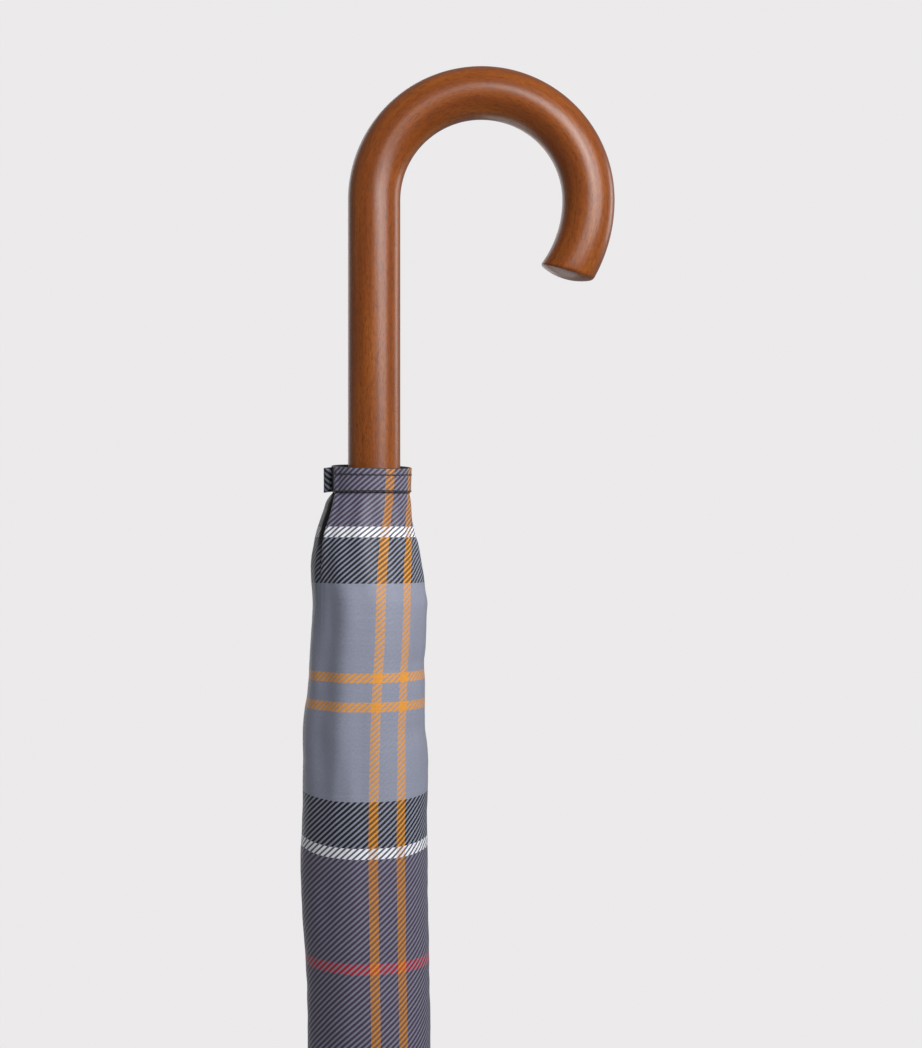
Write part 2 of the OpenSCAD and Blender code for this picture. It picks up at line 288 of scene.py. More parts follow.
def painted_material(name, light, dark, rough):
    """Baked enamel: a slight orange peel, and patches of slightly lighter and darker colour."""
    m = Shader(name, Coat_Weight=0.4, Coat_Roughness=0.2, Specular_IOR_Level=0.5)
    place = m.object_place()
    peel = m.noise(place, 1500.0, 2.0)
    patches = m.noise(place, 120.0, 4.0)
    m.set(Base_Color=m.ramp(patches, [(0.3, dark), (0.75, light)]))
    m.set(Roughness=m.calc("MULTIPLY_ADD", patches, 0.16, rough), Normal=m.bump(peel, 0.00004, 0.35))
    return m.material


WOOD = wood_material()
PLAID = plaid_material("plaid_twill")
LINING = lining_material()
THREAD = thread_material()
NICKEL = plated_material("nickel_plate", srgb(222, 216, 206), srgb(196, 190, 180), 0.16, 0.00001)
ZINC = plated_material("zinc_plate", srgb(186, 188, 194), srgb(150, 152, 158), 0.3, 0.00003)
ENAMEL = painted_material("black_enamel", srgb(40, 40, 44), srgb(18, 18, 21), 0.34)
PLASTIC = painted_material("tip_plastic", srgb(34, 34, 36), srgb(16, 16, 17), 0.55)

FINISH = {
    "nickel": NICKEL, "steel": ZINC, "black_steel": ENAMEL, "tip_plastic": PLASTIC,
    "wood": WOOD, "canopy_cloth": PLAID, "sleeve_cloth": PLAID,
}


def finish_cad_nodes():
    """Every carried-over node takes the finish of its slot, whatever is made over it later."""
    for part in frame["record"]["subparts"]:
        mesh = frame["nodes"][part["node"]].data
        mesh.materials.clear()
        mesh.materials.append(FINISH[part["material_slot"]])


finish_cad_nodes()


# ---- Mesh helpers ----


def mesh_object(name, points, faces, materials, body, marks=None, face_materials=None):
    """A new piece. marks maps an attribute's name to one vector for each corner of each face."""
    mesh = bpy.data.meshes.new(name)
    mesh.from_pydata([tuple(p) for p in points], [], [tuple(f) for f in faces])
    for material in materials:
        mesh.materials.append(material)
    if face_materials is not None:
        mesh.polygons.foreach_set("material_index", np.asarray(face_materials, dtype=np.int32))
    mesh.polygons.foreach_set("use_smooth", np.full(len(mesh.polygons), True))
    for mark, values in (marks or {}).items():
        layer = mesh.attributes.new(mark, "FLOAT_VECTOR", "CORNER")
        layer.data.foreach_set("vector", np.asarray(values, dtype=np.float32).ravel())
    mesh.update()
    piece = bpy.data.objects.new(name, mesh)
    bpy.context.scene.collection.objects.link(piece)
    if body:
        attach(piece, body)
    return piece


def grid_faces(rows, columns, closed, start=0):
    """Quads between rows of points, and for each the (row, column) of its four corners."""
    faces, corners = [], []
    for i in range(rows - 1):
        for j in range(columns if closed else columns - 1):
            k = (j + 1) % columns
            faces.append([start + i * columns + j, start + i * columns + k,
                          start + (i + 1) * columns + k, start + (i + 1) * columns + j])
            corners.append([(i, j), (i, j + 1), (i + 1, j + 1), (i + 1, j)])
    return faces, corners


def smooth_curve(places, stops):
    """Values at places on a smooth curve through stops, which are (place, value) pairs in rising order."""
    x, y = (np.array(v, float) for v in zip(*stops))
    slope = np.diff(y) / np.diff(x)
    bend = np.zeros(len(x))
    for i in range(1, len(x) - 1):
        if slope[i - 1] * slope[i] > 0:
            bend[i] = 2 * slope[i - 1] * slope[i] / (slope[i - 1] + slope[i])
    bend[0], bend[-1] = slope[0], slope[-1]
    places = np.clip(places, x[0], x[-1])
    i = np.clip(np.searchsorted(x, places, side="right") - 1, 0, len(x) - 2)
    h = x[i + 1] - x[i]
    t = (places - x[i]) / h
    return ((1 + 2 * t) * (1 - t) ** 2 * y[i] + t * (1 - t) ** 2 * h * bend[i]
            + t * t * (3 - 2 * t) * y[i + 1] + t * t * (t - 1) * h * bend[i + 1])


def bell(x, middle, width):
    return np.exp(-(((x - middle) / width) ** 2))


def rise(x, low, high):
    """0 below low, 1 above high, and smooth between."""
    t = np.clip((x - low) / (high - low), 0, 1)
    return t * t * (3 - 2 * t)


# ---- Handle ----

WOOD_R = 11 * MM
CROOK_R = 45 * MM
HOOK_R = 56 * MM
HOOK_PAST = math.radians(33)
FACE_SLOPE = math.radians(16)
FACE_BULGE = 2.5 * MM
BORE_R = 5 * MM
BORE_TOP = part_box("shaft")[1].z
HANDLE_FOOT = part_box("handle")[0].z
HANDLE_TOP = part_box("handle")[1].z
CROOK_Z = HANDLE_TOP - CROOK_R - WOOD_R
COLLAR_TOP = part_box("handle_collar")[1].z
COLLAR_WALL = 0.6 * MM
SIDES = 96


def handle_station(length):
    """The centre of the rod and the direction out from the bend, at a length measured from its foot."""
    shank = CROOK_Z - HANDLE_FOOT
    if length <= shank:
        return Vector((0, 0, HANDLE_FOOT + length)), Vector((-1, 0, 0))
    turn = (length - shank) / CROOK_R
    if turn <= math.pi:
        out = Vector((-math.cos(turn), 0, math.sin(turn)))
        return Vector((CROOK_R, 0, CROOK_Z)) + CROOK_R * out, out
    turn = (length - shank - math.pi * CROOK_R) / HOOK_R
    out = Vector((math.cos(turn), 0, -math.sin(turn)))
    return Vector((2 * CROOK_R - HOOK_R, 0, CROOK_Z)) + HOOK_R * out, out


def rod_point(length, angle, radius=WOOD_R):
    centre, out = handle_station(length)
    return centre + radius * (math.cos(angle) * out + math.sin(angle) * Vector((0, 1, 0)))


def handle_end():
    """The middle of the domed end's sphere, its radius, and the dome's outermost point."""
    length = CROOK_Z - HANDLE_FOOT + math.pi * CROOK_R + HOOK_PAST * HOOK_R
    face = handle_station(length)[0]
    radius = (WOOD_R**2 + FACE_BULGE**2) / (2 * FACE_BULGE)
    way = Vector((math.sin(FACE_SLOPE), 0, math.cos(FACE_SLOPE)))
    middle = face + (radius - FACE_BULGE) * way
    return middle, radius, middle - radius * way, length


def make_handle():
    middle, radius, apex, full = handle_end()
    angles = [2 * math.pi * j / SIDES for j in range(SIDES)]
    rings, rods = [], []

    def ring(make, rod):
        rings.append([make(a) for a in angles])
        rods.append([rod(a) for a in angles])

    def straight(length, size):
        ring(lambda a: rod_point(length, a, size),
             lambda a: (size * math.cos(a), size * math.sin(a), length))

    straight(BORE_TOP - HANDLE_FOOT, 0.01 * MM)
    straight(BORE_TOP - HANDLE_FOOT, BORE_R)
    straight(0, BORE_R)
    foot_r = WOOD_R - COLLAR_WALL
    straight(0, foot_r - 0.4 * MM)
    straight(0.4 * MM, foot_r)
    step = COLLAR_TOP - HANDLE_FOOT
    straight(step, foot_r)
    straight(step, WOOD_R - 0.3 * MM)
    straight(step + 0.3 * MM, WOOD_R)
    last = full - 16 * MM
    count = 230
    for i in range(1, count + 1):
        straight(step + 0.3 * MM + (last - step - 0.3 * MM) * i / count, WOOD_R)

    def rim_length(a):
        low, high = full - 16 * MM, full + 16 * MM
        for _ in range(40):
            mid = (low + high) / 2
            inside = (rod_point(mid, a) - middle).length < radius
            low, high = (mid, high) if inside else (low, mid)
        return low

    rim = {a: rim_length(a) for a in angles}
    soft = 1.1 * MM
    for share in (0.25, 0.5, 0.75):
        ring(lambda a: rod_point(last + (rim[a] - soft - last) * share, a),
             lambda a: (WOOD_R * math.cos(a), WOOD_R * math.sin(a), last + (rim[a] - soft - last) * share))

    def on_dome(a, share):
        """A point on the dome, from its rim at 0 to its middle at 1."""
        edge = (rod_point(rim[a], a) - middle).normalized()
        return middle + radius * edge.slerp((apex - middle).normalized(), share)

    for step_share in np.linspace(0, 1, 7):
        b = float(step_share)
        inner = soft / WOOD_R
        ring(lambda a: (1 - b) ** 2 * rod_point(rim[a] - soft, a) + 2 * b * (1 - b) * rod_point(rim[a], a)
             + b * b * on_dome(a, inner),
             lambda a: (WOOD_R * math.cos(a), WOOD_R * math.sin(a), rim[a] - soft * (1 - b)))
    for share in (0.2, 0.32, 0.45, 0.58, 0.7, 0.82, 0.92, 0.995):
        ring(lambda a: on_dome(a, share),
             lambda a: (WOOD_R * (1 - share) * math.cos(a), WOOD_R * (1 - share) * math.sin(a), full))

    faces, corners = grid_faces(len(rings), SIDES, closed=True)
    marks = [rods[i][j % SIDES] for face in corners for i, j in face]
    points = [p for r in rings for p in r]
    faces.append(list(range(SIDES))[::-1])
    marks += [rods[0][j] for j in range(SIDES)][::-1]
    faces.append([(len(rings) - 1) * SIDES + j for j in range(SIDES)])
    marks += [rods[-1][j] for j in range(SIDES)]
    piece = mesh_object("crook_handle", points, faces, [WOOD], "stick", {"rod": marks})
    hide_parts("handle")


make_handle()


# ---- Sleeve ----

SLEEVE_LOW, SLEEVE_HIGH = (v.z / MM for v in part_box("sleeve"))
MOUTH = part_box("sleeve_hem")[1].z / MM
# The sleeve's outline, in mm: at each height its left and right edges and half its depth
OUTLINE = {
    "left": [
        (44, -9.6), (54, -15.8), (75, -19), (130, -22.5), (200, -25), (360, -27.3), (489, -27.7),
        (510, -27.8), (539, -29.2), (563, -30.2), (583, -30.2), (600, -29.8), (620, -29.8),
        (630, -29), (637, -28.1), (650, -27.3), (663, -26.5), (674, -26.1), (686, -26.8),
        (694, -26.5), (700, -25.4), (704, -24.6), (710.5, -22.7), (714, -21.3), (717.5, -20.1),
        (720, -18.4), (721.3, -17.2),
    ],
    "right": [
        (44, 9.6), (54, 15.6), (72, 18.6), (130, 21.8), (200, 22.8), (360, 23.7), (489, 23.8),
        (522, 23.1), (539, 22.8), (573, 23.1), (590, 22.5), (613, 22.3), (625, 21.2), (637, 21.2),
        (650, 20.7), (656, 21.5), (664, 21.9), (674, 22.3), (680, 21.5), (687, 20.6), (694, 19.4),
        (700, 18.4), (704, 16.9), (710.5, 15.6), (717.5, 15.3), (721.3, 14.7),
    ],
    "depth": [
        (44, 9.6), (54, 15.6), (72, 18.6), (130, 21.8), (200, 22.6), (360, 23.4), (560, 23.5),
        (640, 23), (674, 22), (686, 20.6), (694, 18.8), (704, 16.2), (714, 14.6), (721.3, 13.5),
    ],
}
# The band round the mouth keeps nearly one size
BAND = {
    "left": [(720, -17.1), (732, -17.4)],
    "right": [(720, 14.9), (732, 15.2)],
    "depth": [(720, 13.8), (732, 14)],
}
# Where the edge of the pleat runs, at the left of the front: height and place along X, in mm
PLEAT_PLACE = [
    (672, -22.6), (687, -22.4), (695, -21.6), (702, -20.6), (706, -19.7), (710.5, -18.2),
    (716, -16.8), (721, -15.8), (733, -15.6),
]
# Where the left one of the two amber lines runs down the front: height and place along X, in mm
LINE_PLACE = [
    (44, 2), (495, 2.1), (534, 1.5), (575, 1), (620, 1.7), (637, 2.4), (661, 3.7), (686, 4.3),
    (703, 5.5), (720, 7.1), (732, 7.7),
]
LINE_FROM_MIDDLE = 5.75
# Painted shade in the creases under the two rows of stitches: height and width, in mm
SEAM_SHADE_LINES = [(721.0, 0.55), (MOUTH - 2.9, 0.4)]
PLAID_MIDDLE = 639.2
CLOTH = 0.5
PLEAT_COLUMN = 214


def sleeve_angles():
    """Angles round the sleeve, starting at the side seam, closer together at the pleat."""
    spans = [(180, 202, 26), (202, 226, 90), (226, 540, 250)]
    out = []
    for low, high, count in spans:
        out += list(np.linspace(low, high, count, endpoint=False))
    return np.radians(np.array(out))


def soft_noise(x, y, z):
    return noise.noise(Vector((x, y, z)))


def noise_field(heights, angles, size, step, shift):
    return np.array([[soft_noise(size * math.cos(t) + shift, size * math.sin(t), h * step) for t in angles]
                     for h in heights])


def sleeve_wall(heights, base_angles, outline):
    """Points of the sleeve's outside, in mm, for every height and angle, and how much painted shade darkens
    the cloth at each.
    """
    left, right, depth = (smooth_curve(heights, outline[k])[:, None] for k in ("left", "right", "depth"))
    middle, half = (left + right) / 2, (right - left) / 2
    z = heights[:, None] * np.ones(len(base_angles))[None, :]
    pleat_x = smooth_curve(heights, PLEAT_PLACE)[:, None]
    pleat_at = 360 - np.degrees(np.arccos(np.clip((pleat_x - middle) / half, -1, 1)))
    base = np.degrees(base_angles)[None, :]
    # the mesh follows the pleat's edge, so that its columns stay along the fold
    follow = rise(base, 181, 206) * (1 - rise(base, 222, 290))
    turn = base + (pleat_at - PLEAT_COLUMN) * follow
    past = turn - pleat_at
    a = np.radians(turn)
    out = np.zeros_like(z)
    # under the hem a pleat takes in the cloth: the front laps over the piece to its left
    pleat = rise(z, 680, 704)
    under = np.exp(np.minimum(past, 0) / 11) * (1 - 0.25 * np.exp(np.minimum(past, 0) / 2))
    tucked = np.where(past < 0, under, 0.75 * (1 - rise(past, 0, 1.4)))
    out -= pleat * (2.2 - 1.4 * rise(z, 713, 721)) * tucked
    out += pleat * 0.8 * bell(past, 5, 5)
    faint = rise(z, 655, 684) * (1 - rise(z, 690, 706))
    out -= faint * 0.7 * bell(past, 0, 7)
    # the folded canopy underneath: a ridge down the left of the front, and a hollow beside it
    ridge = rise(z, 575, 625) * (1 - rise(z, 668, 700))
    out += ridge * (1.0 * bell(turn, 250, 12) - 1.5 * bell(turn, 227, 17) + 0.5 * bell(turn, 296, 16))
    long_ridge = rise(z, 100, 300) * (1 - rise(z, 540, 620))
    out += long_ridge * (0.7 * bell(turn, 262, 24) - 0.5 * bell(turn, 228, 20))
    out += rise(z, 120, 300) * (1 - rise(z, 560, 620)) * 0.45 * np.cos(3 * a + 0.004 * z + 0.8)
    # the strap and one corner of the folded canopy press the cloth out a little
    out += 0.55 * bell(z, 601, 15) * bell(turn, 356, 38) + 0.5 * bell(z, 631, 9) * bell(turn, 326, 12)
    # gathers just under the hem, and slack all over
    gather = rise(z, 672, 700) * (1 - rise(z, 715, 722))
    out += gather * 0.3 * np.cos(13 * a + 0.03 * z) * (0.35 + 0.65 * np.abs(np.sin(a)))
    free = 1 - 0.85 * rise(z, 712, 724)
    broad = noise_field(heights, base_angles, 1.3, 0.017, 0)
    small = noise_field(heights, base_angles, 3.4, 0.045, 9)
    crossing = noise_field(heights, base_angles, 1.6, 0.16, 4)
    front = np.clip(-np.sin(a), 0, 1)
    out += free * (0.8 * broad + 0.35 * small + 0.22 * crossing * (1 - 0.5 * front))
    x = middle + (half + out) * np.cos(a)
    y = (depth + out) * np.sin(a)
    # Painted shade: a near-black line where the front laps over the pleat, and a softer painted shadow on
    # the cloth to its left.
    lip = np.where((past >= 0) & (past < 10), x, np.inf).min(axis=1)[:, None]
    dark = rise(z, 692, 703) * (y < 0) * np.where(past < 0.5, 1 - rise(lip - x, 1.9, 2.9), 0)
    shade = rise(z, 640, 705) * (y < 0) * np.where(past < 0, 0.45 * (1 - rise(lip - x, 2.0, 8.0)), 0)
    dark = np.maximum(dark, shade)
    # painted shade along the seam creases at the band's foot and under its upper edge
    for line_z, width in SEAM_SHADE_LINES:
        dark = np.maximum(dark, 0.9 * bell(z, line_z, width))
    return np.stack([x, y, z], axis=2), dark


def cloth_marks(points, mask):
    """For every point, its place across and up the cloth, and how much painted shade darkens it there.

    The first column is given once more at the end, where the cloth has gone right round.
    """
    rows, columns = mask.shape
    closed = np.concatenate([points, points[:, :1]], axis=1)
    steps = np.linalg.norm(np.diff(closed[:, :, :2], axis=1), axis=2)
    along = np.concatenate([np.zeros((rows, 1)), np.cumsum(steps, axis=1)], axis=1)
    marks = np.zeros((rows, columns + 1, 3))
    for i in range(rows):
        want = float(smooth_curve(np.array([points[i, 0, 2]]), LINE_PLACE)[0])
        front = [j for j in range(columns) if closed[i, j, 1] < 0]
        x = closed[i, front, 0]
        zero = np.interp(want, x, along[i, front])
        marks[i, :, 0] = (along[i] - zero - LINE_FROM_MIDDLE) * MM
    side = np.abs(closed[:, :, 0] + 3) / 26
    bow = 2.3 * np.clip(side, 0, 1) ** 4 * bell(closed[:, :, 2], 578, 38)
    marks[:, :, 1] = (closed[:, :, 2] - PLAID_MIDDLE - bow) * MM
    # the third value is the painted shade
    marks[:, :, 2] = np.concatenate([mask, mask[:, :1]], axis=1)
    return marks


def inset(points, thickness):
    """The same rows, moved in square to the wall, level."""
    step = np.roll(points, -1, axis=1) - np.roll(points, 1, axis=1)
    normal = np.stack([step[:, :, 1], -step[:, :, 0]], axis=2)
    normal /= np.maximum(np.linalg.norm(normal, axis=2, keepdims=True), 1e-9)
    moved = points.copy()
    moved[:, :, :2] -= thickness * normal
    return moved


def cloth_tube(name, outside, inside, marks, node, body="sleeve"):
    """A tube of cloth with an outside, a dark inside, and rounded rims where the two meet."""
    rows, columns = outside.shape[:2]
    middle_low = (outside[:1] + inside[:1]) / 2
    middle_high = (outside[-1:] + inside[-1:]) / 2
    middle_low[:, :, 2] -= 0.25
    middle_high[:, :, 2] += 0.25
    wall = np.concatenate([middle_low, outside, middle_high, inside[::-1]])
    faces, corners = grid_faces(len(wall), columns, closed=True)
    total = len(wall)
    for j in range(columns):
        k = (j + 1) % columns
        faces.append([(total - 1) * columns + j, (total - 1) * columns + k, k, j])
        corners.append([(total - 1, j), (total - 1, j + 1), (0, j + 1), (0, j)])
    source = np.concatenate([marks[:1], marks, marks[-1:], marks[::-1]])
    values = [source[i, j] for face in corners for i, j in face]
    kinds = [0 if corner[0][0] < rows else 1 for corner in corners]
    places = (wall * MM).reshape(-1, 3)
    piece = mesh_object(name, places, faces, [PLAID, LINING], body, {"cloth": values}, kinds)
    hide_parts(node)
    return piece


def make_sleeve():
    angles = sleeve_angles()
    low = np.linspace(SLEEVE_LOW, 500, 150, endpoint=False)
    high = np.linspace(500, SLEEVE_HIGH, 210)
    points, mask = sleeve_wall(np.concatenate([low, high]), angles, OUTLINE)
    return cloth_tube("sleeve_cloth", points, inset(points, CLOTH), cloth_marks(points, mask), "sleeve")


def mouth_tilt(points):
    """How far the mouth's rim stands above its lowest height: the back is higher than the front."""
    back = np.clip(points[..., 1] / 14, -1, 1)
    side = np.clip(points[..., 0] / 16, -1, 1)
    return 1.1 + 1.1 * back - 0.45 * side


def make_band():
    """The turned hem round the mouth: a doubled band that stands a little proud of the sleeve."""
    angles = sleeve_angles()
    base = SLEEVE_HIGH - 0.4
    heights = np.linspace(base, MOUTH, 34)
    points, mask = sleeve_wall(heights, angles, BAND)
    share = (heights - base) / (MOUTH - base)
    proud = 0.55 * np.sin(np.pi * np.clip(share * 5, 0, 0.5)) * np.ones_like(share)
    points = inset(points, -proud[:, None, None] * np.ones((1, len(angles), 1)))
    lift = mouth_tilt(points[-1]) - 1.2
    points[:, :, 2] += (share[:, None]) ** 1.5 * lift[None, :]
    # the band keeps nine tenths of the painted shade of the pleat and the seams
    marks = cloth_marks(points, mask * 0.9)
    return cloth_tube("sleeve_band", points, inset(points, 0.9), marks, "sleeve_hem"), points


def stitch_line(name, path, outward, body, length=2.4, gap=0.25, size=0.26):
    """A row of stitches along a path on the cloth, in mm, each a short thread that dips at its ends."""
    path, outward = np.asarray(path), np.asarray(outward)
    steps = np.linalg.norm(np.diff(path, axis=0), axis=1)
    along = np.concatenate([[0], np.cumsum(steps)])
    points, faces = [], []
    around, rings = 6, 7
    start = gap
    while start + length < along[-1]:
        base = len(points)
        for r in range(rings):
            share = r / (rings - 1)
            where = start + share * length
            middle = np.array([np.interp(where, along, path[:, c]) for c in range(3)])
            out = np.array([np.interp(where, along, outward[:, c]) for c in range(3)])
            out /= np.linalg.norm(out)
            ahead = np.array([np.interp(where + 0.2, along, path[:, c]) for c in range(3)]) - middle
            ahead /= max(np.linalg.norm(ahead), 1e-9)
            side = np.cross(out, ahead)
            rise_out = size * (0.7 * math.sin(math.pi * share) - 0.45)
            radius = size * (0.45 + 0.55 * math.sin(math.pi * share))
            for k in range(around):
                t = 2 * math.pi * k / around
                points.append(middle + out * (rise_out + radius * math.cos(t)) + side * radius * math.sin(t))
        quads, _ = grid_faces(rings, around, closed=True, start=base)
        faces += quads
        faces.append([base + k for k in range(around)][::-1])
        faces.append([base + (rings - 1) * around + k for k in range(around)])
        start += length + gap
    return mesh_object(name, np.array(points) * MM, faces, [THREAD], body)


def ring_normals(ring):
    step = np.roll(ring, -1, axis=0) - np.roll(ring, 1, axis=0)
    normal = np.stack([step[:, 1], -step[:, 0], np.zeros(len(ring))], axis=1)
    return normal / np.linalg.norm(normal, axis=1, keepdims=True)


def make_hem_stitches(points):
    """Two rows round the band: one under its upper edge, one at its foot."""
    out = []
    for name, row in (("hem_stitch_upper", len(points) - 10), ("hem_stitch_lower", 3)):
        ring = points[row]
        closed = np.concatenate([ring, ring[:1]])
        normals = ring_normals(ring)
        out.append(stitch_line(name, closed, np.concatenate([normals, normals[:1]]), "sleeve"))
    return out


def make_tab():
    """The folded end of the band that stands out at the side seam: a strip doubled back on itself."""
    low, high = (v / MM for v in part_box("sleeve_tab"))
    strip = [
        (-17.2, -1.5), (-19.2, -2.2), (-20.6, -2.1), (-21.1, -1.2), (-20.7, -0.3), (-19.2, 0.2),
        (-17.2, 0.4),
    ]
    heights = np.linspace(low.z - 0.4, high.z + 0.4, 9)
    outside = np.array([[(x, y + 0.25 * math.sin((h - low.z) * 0.5), h + 0.12 * (x + 17.2))
                         for x, y in strip] for h in heights])
    thin = outside.copy()
    centre = np.array([-18.6, -0.9])
    thin[:, :, :2] = centre + (outside[:, :, :2] - centre) * np.array([0.82, 0.45])
    rows, columns = outside.shape[:2]
    points = np.concatenate([outside, thin]).reshape(-1, 3) * MM
    faces, corners = [], []
    base = rows * columns
    for i in range(rows - 1):
        for j in range(columns - 1):
            a, d = i * columns + j, (i + 1) * columns + j
            b, c = a + 1, d + 1
            faces += [[a, b, c, d][::-1], [base + a, base + b, base + c, base + d]]
            corners += [[(i, j), (i, j + 1), (i + 1, j + 1), (i + 1, j)][::-1],
                        [(i, j), (i, j + 1), (i + 1, j + 1), (i + 1, j)]]
    for j in range(columns - 1):
        for i, flip in ((0, False), (rows - 1, True)):
            a, b = i * columns + j, i * columns + j + 1
            face, corner = [a, b, base + b, base + a], [(i, j), (i, j + 1), (i, j + 1), (i, j)]
            faces.append(face[::-1] if flip else face)
            corners.append(corner[::-1] if flip else corner)
    for i in range(rows - 1):
        for j, flip in ((0, True), (columns - 1, False)):
            a, b = i * columns + j, (i + 1) * columns + j
            face, corner = [a, b, base + b, base + a], [(i, j), (i + 1, j), (i + 1, j), (i, j)]
            faces.append(face[::-1] if flip else face)
            corners.append(corner[::-1] if flip else corner)
    black_band = 47 * MM
    # The whole fold is darkened by 0.35 of painted shade, for the shadow it stands in at the side.
    marks = [(1.6 * MM * j + 18 * MM, black_band + (heights[i] - low.z) * MM, 0.35)
             for corner in corners for i, j in corner]
    piece = mesh_object("sleeve_fold", points, faces, [PLAID], "sleeve", {"cloth": marks})
    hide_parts("sleeve_tab")
    return piece


sleeve = make_sleeve()
band, band_points = make_band()
hem_stitches = make_hem_stitches(band_points)
tab = make_tab()


# ---- Canopy ----

RIBS = 8
PIVOT_R = 7.0
PIVOT_Z = 68.0
OPEN_ANGLE = math.radians(75)
SPREAD = 456.3
GORE_LOW = 72.0
GORE_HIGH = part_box("canopy_panel_1")[1].z / MM
RIB_OUT = 12.6
# One furled gore, seen along the shaft: the angle from its first rib, the radius, and how far across
# the gore each point is. It laps over the next gore and turns back under itself.
FURL = [
    (0, RIB_OUT, 0), (5, 16.4, 0.02), (12, 19.2, 0.05), (22, 20.3, 0.1), (34, 20.6, 0.16),
    (46, 20.9, 0.22), (57, 21.1, 0.28), (60.5, 20.9, 0.31), (60, 20.2, 0.35), (55, 19.6, 0.5),
    (50, 18.9, 0.75), (45, 17.82, 1),
]
HEM_RISE = 26.0


def cloth_between_ribs(k):
    """Points, blend weights and cloth marks of gore k, row by row from the crown to the hem."""
    turns, radii, shares = (np.array(v, float) for v in zip(*FURL))
    along = np.linspace(0, 1, len(FURL))
    fine = np.linspace(0, 1, 56)
    turn, radius, share = (smooth_curve(fine, list(zip(along, v))) for v in (turns, radii, shares))
    heights = GORE_LOW + (GORE_HIGH - GORE_LOW) * np.linspace(0, 1, 110) ** 1.1
    across, up = np.meshgrid(share, heights)
    # the hem runs in a shallow curve from one rib's tip to the next
    up = up - HEM_RISE * 4 * across * (1 - across) * ((up - GORE_LOW) / (GORE_HIGH - GORE_LOW)) ** 2
    fullness = 0.2 + 0.8 * rise(up, 55, 170) - 0.1 * rise(up, 630, 668)
    out = RIB_OUT + (radius[None, :] - RIB_OUT) * fullness
    last = np.arange(len(fine)) > 40
    lapped = RIB_OUT + (radius[None, :] - RIB_OUT) * np.maximum(fullness, share[None, :])
    out = np.where(last[None, :], lapped, out)
    ripple = np.array([[soft_noise(t * 0.09 + k * 7, h * 0.02, k) for t in turn] for h in heights])
    out += 0.5 * ripple * np.sin(np.pi * np.clip(across * 3, 0, 1))
    a = np.radians(turn)[None, :] * np.ones_like(up)
    x, y = out * np.cos(a), out * np.sin(a)
    # where the point comes to when the umbrella opens, before the gore spreads
    reach = PIVOT_R + (x - PIVOT_R) * math.cos(OPEN_ANGLE) + (up - PIVOT_Z) * math.sin(OPEN_ANGLE)
    half = math.radians(180 / RIBS)
    span = (reach * math.cos(half) + y * math.sin(half)) / math.cos(half)
    sideways = -reach * math.sin(half) + y * math.cos(half)
    chord = 2 * span * math.sin(half)
    weight = np.clip(((across - 0.5) * chord - sideways) / SPREAD, 0, 1)
    start = 2 * math.pi * (k - 1) / RIBS
    east, north = math.cos(start), math.sin(start)
    points = np.stack([x * east - y * north, x * north + y * east, up], axis=2)
    marks = np.stack([(across - 0.5) * chord, up - 200, np.zeros_like(up)], axis=2) * MM
    return points, weight, marks


def make_gore(k):
    points, weight, marks = cloth_between_ribs(k)
    rows, columns = weight.shape
    start = 2 * math.pi * (k - 1) / RIBS
    inside = points - 0.3 * np.array([math.cos(start), math.sin(start), 0])
    faces, corners = grid_faces(rows, columns, closed=False)
    base = rows * columns
    back = [[base + v for v in face[::-1]] for face in faces]
    back_corners = [corner[::-1] for corner in corners]
    rim = ([(0, j) for j in range(columns)] + [(i, columns - 1) for i in range(1, rows)]
           + [(rows - 1, j) for j in range(columns - 2, -1, -1)] + [(i, 0) for i in range(rows - 2, -1, -1)])
    edge, edge_corners = [], []
    for one, two in zip(rim, rim[1:]):
        a, b = one[0] * columns + one[1], two[0] * columns + two[1]
        edge.append([b, a, base + a, base + b])
        edge_corners.append([two, one, one, two])
    values = [marks[i, j] for corner in corners + back_corners + edge_corners for i, j in corner]
    both = np.concatenate([points.reshape(-1, 3), inside.reshape(-1, 3)]) * MM
    piece = mesh_object(f"gore_cloth_{k}", both, faces + back + edge, [PLAID], None,
                        {"cloth": values})
    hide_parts(f"canopy_panel_{k}")
    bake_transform(piece)


def make_rosette(k):
    """The gore's narrow end, from the clamp between the crown's cap and washer to where it starts."""
    profile = [
        (5.3, 59.75, 0), (13.2, 59.75, 0), (13.9, 60.4, 0.1), (14.1, 63, 0.4), (14.1, 68, 0.75),
        (14.1, 74, 1),
    ]
    start = 2 * math.pi * (k - 1) / RIBS
    turns = start + np.linspace(0, 2 * math.pi / RIBS, 13)
    points, weights = [], []
    for thick in (0, 0.3):
        for r, z, w in profile:
            for t in turns:
                flat = z < 60
                size = r if flat else r - thick
                high = z + thick if flat else z
                points.append((size * math.cos(t) * MM, size * math.sin(t) * MM, high * MM))
                weights.append(w)
    rows, columns = len(profile), len(turns)
    faces, _ = grid_faces(rows, columns, closed=False)
    base = rows * columns
    faces += [[base + v for v in face[::-1]] for face in faces]
    for i, flip in ((0, False), (rows - 1, True)):
        for j in range(columns - 1):
            face = [i * columns + j, base + i * columns + j, base + i * columns + j + 1, i * columns + j + 1]
            faces.append(face[::-1] if flip else face)
    marks = [(points[v][0], points[v][1], 0) for face in faces for v in face]
    piece = mesh_object(f"rosette_{k}", points, faces, [PLAID], None, {"cloth": marks})
    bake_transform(piece)


for number in range(1, RIBS + 1):
    make_gore(number)
    make_rosette(number)


# ---- Closing strap ----

STRAP_LOW, STRAP_HIGH = (v.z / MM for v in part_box("strap"))


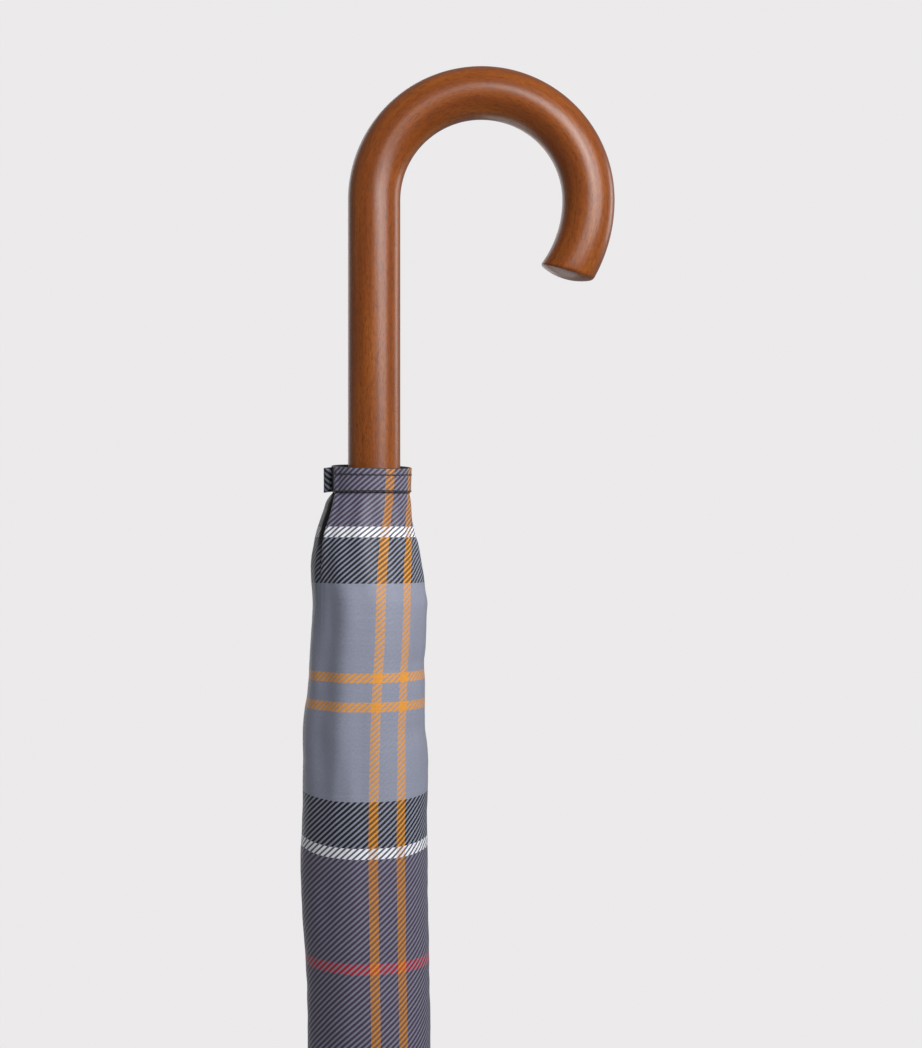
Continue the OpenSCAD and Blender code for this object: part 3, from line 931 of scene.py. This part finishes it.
def make_strap():
    """A doubled band round the furled canopy, its ends lapped under the stud."""
    turns = np.linspace(0, 2 * math.pi, 181)[:-1]
    heights = np.linspace(STRAP_LOW, STRAP_HIGH, 12)
    sag = np.array([[0.12 * soft_noise(2 * math.cos(t), 2 * math.sin(t), h * 0.1) for t in turns]
                    for h in heights])
    edge = 0.25 * (bell(heights, STRAP_LOW, 1.2) + bell(heights, STRAP_HIGH, 1.2))[:, None]
    out = 21.75 - edge + sag
    x, y = out * np.cos(turns)[None, :], out * np.sin(turns)[None, :]
    z = heights[:, None] * np.ones(len(turns))[None, :]
    points = np.stack([x, y, z], axis=2)
    ring = np.linspace(0, 1, len(turns) + 1)[None, :] * 135 * np.ones((len(heights), 1)) + 15
    up = np.concatenate([z, z[:, :1]], axis=1) - STRAP_LOW + 20
    marks = np.stack([ring, up, np.zeros_like(up)], axis=2) * MM
    piece = cloth_tube("strap_band", points, inset(points, 0.45), marks, "strap", "rib_5")
    stitches = []
    for name, row in (("strap_stitch_low", 1), ("strap_stitch_high", len(heights) - 2)):
        closed = np.concatenate([points[row], points[row][:1]])
        normals = ring_normals(points[row])
        stitches.append(stitch_line(name, closed, np.concatenate([normals, normals[:1]]), "rib_5"))
    return [piece] + stitches


strap_pieces = make_strap()


# ---- Each soft piece takes a mesh of its own ----

for piece in [sleeve, band, tab] + hem_stitches:
    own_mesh(piece)
for piece in strap_pieces:
    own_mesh(piece)


# ---- Stage and light ----

FLOOR_Z = -0.8
PALE = srgb(236, 234, 235)


def make_stage():
    m = Shader("pale_floor", Roughness=0.9, Emission_Color=PALE, Emission_Strength=0.6)
    patches = m.noise(m.object_place(), 3.0, 2.0)
    m.set(Base_Color=m.ramp(patches, [(0.3, srgb(226, 224, 225)), (0.7, srgb(232, 230, 231))]))
    bpy.ops.mesh.primitive_circle_add(vertices=128, radius=2.6, fill_type="NGON", location=(0, 0, FLOOR_Z))
    floor = bpy.context.object
    floor.name = "floor"
    floor.data.materials.append(m.material)
    floor.visible_diffuse = floor.visible_glossy = False
    # a far pale room that only the camera sees, so that the background is even from every side
    bpy.ops.mesh.primitive_uv_sphere_add(segments=64, ring_count=32, radius=14, location=(0, 0, 0))
    room = bpy.context.object
    room.name = "room"
    pale = bpy.data.materials.new("pale_room")
    pale.use_nodes = True
    surface = pale.node_tree.nodes["Principled BSDF"]
    surface.inputs["Base Color"].default_value = (0, 0, 0, 1)
    surface.inputs["Specular IOR Level"].default_value = 0
    surface.inputs["Emission Color"].default_value = PALE
    surface.inputs["Emission Strength"].default_value = 1.0
    room.data.materials.append(pale)
    room.visible_diffuse = room.visible_glossy = room.visible_transmission = False
    room.visible_volume_scatter = room.visible_shadow = False


def area_light(name, place, target, width, height, watts, spread=180):
    data = bpy.data.lights.new(name, "AREA")
    data.shape = "RECTANGLE"
    data.size, data.size_y = width, height
    data.energy = watts
    data.spread = math.radians(spread)
    light = bpy.data.objects.new(name, data)
    bpy.context.scene.collection.objects.link(light)
    light.location = place
    light.rotation_euler = (Vector(target) - Vector(place)).to_track_quat("-Z", "Y").to_euler()


def make_light():
    world = bpy.data.worlds.new("studio")
    world.use_nodes = True
    background = world.node_tree.nodes["Background"]
    background.inputs["Color"].default_value = (1, 1, 1, 1)
    background.inputs["Strength"].default_value = 0.29
    bpy.context.scene.world = world
    area_light("key", (0.68, -0.78, 1.16), (0.02, 0, 0.98), 0.7, 0.7, 4.6, spread=110)
    area_light("front", (0.32, -0.95, 1.22), (0.02, 0, 0.94), 0.5, 0.4, 1.9, spread=90)
    area_light("edge", (0.95, 0.5, 1.0), (0.02, 0, 0.86), 0.3, 0.5, 0.25, spread=60)
    area_light("back_fill", (-0.6, 1.4, 0.9), (0, 0, 0.45), 1.2, 1.6, 7)
    area_light("low_fill", (-0.5, 1.1, -0.4), (0, 0, 0.3), 1.2, 0.8, 5)


make_stage()
make_light()
bpy.context.scene.view_settings.view_transform = "Standard"
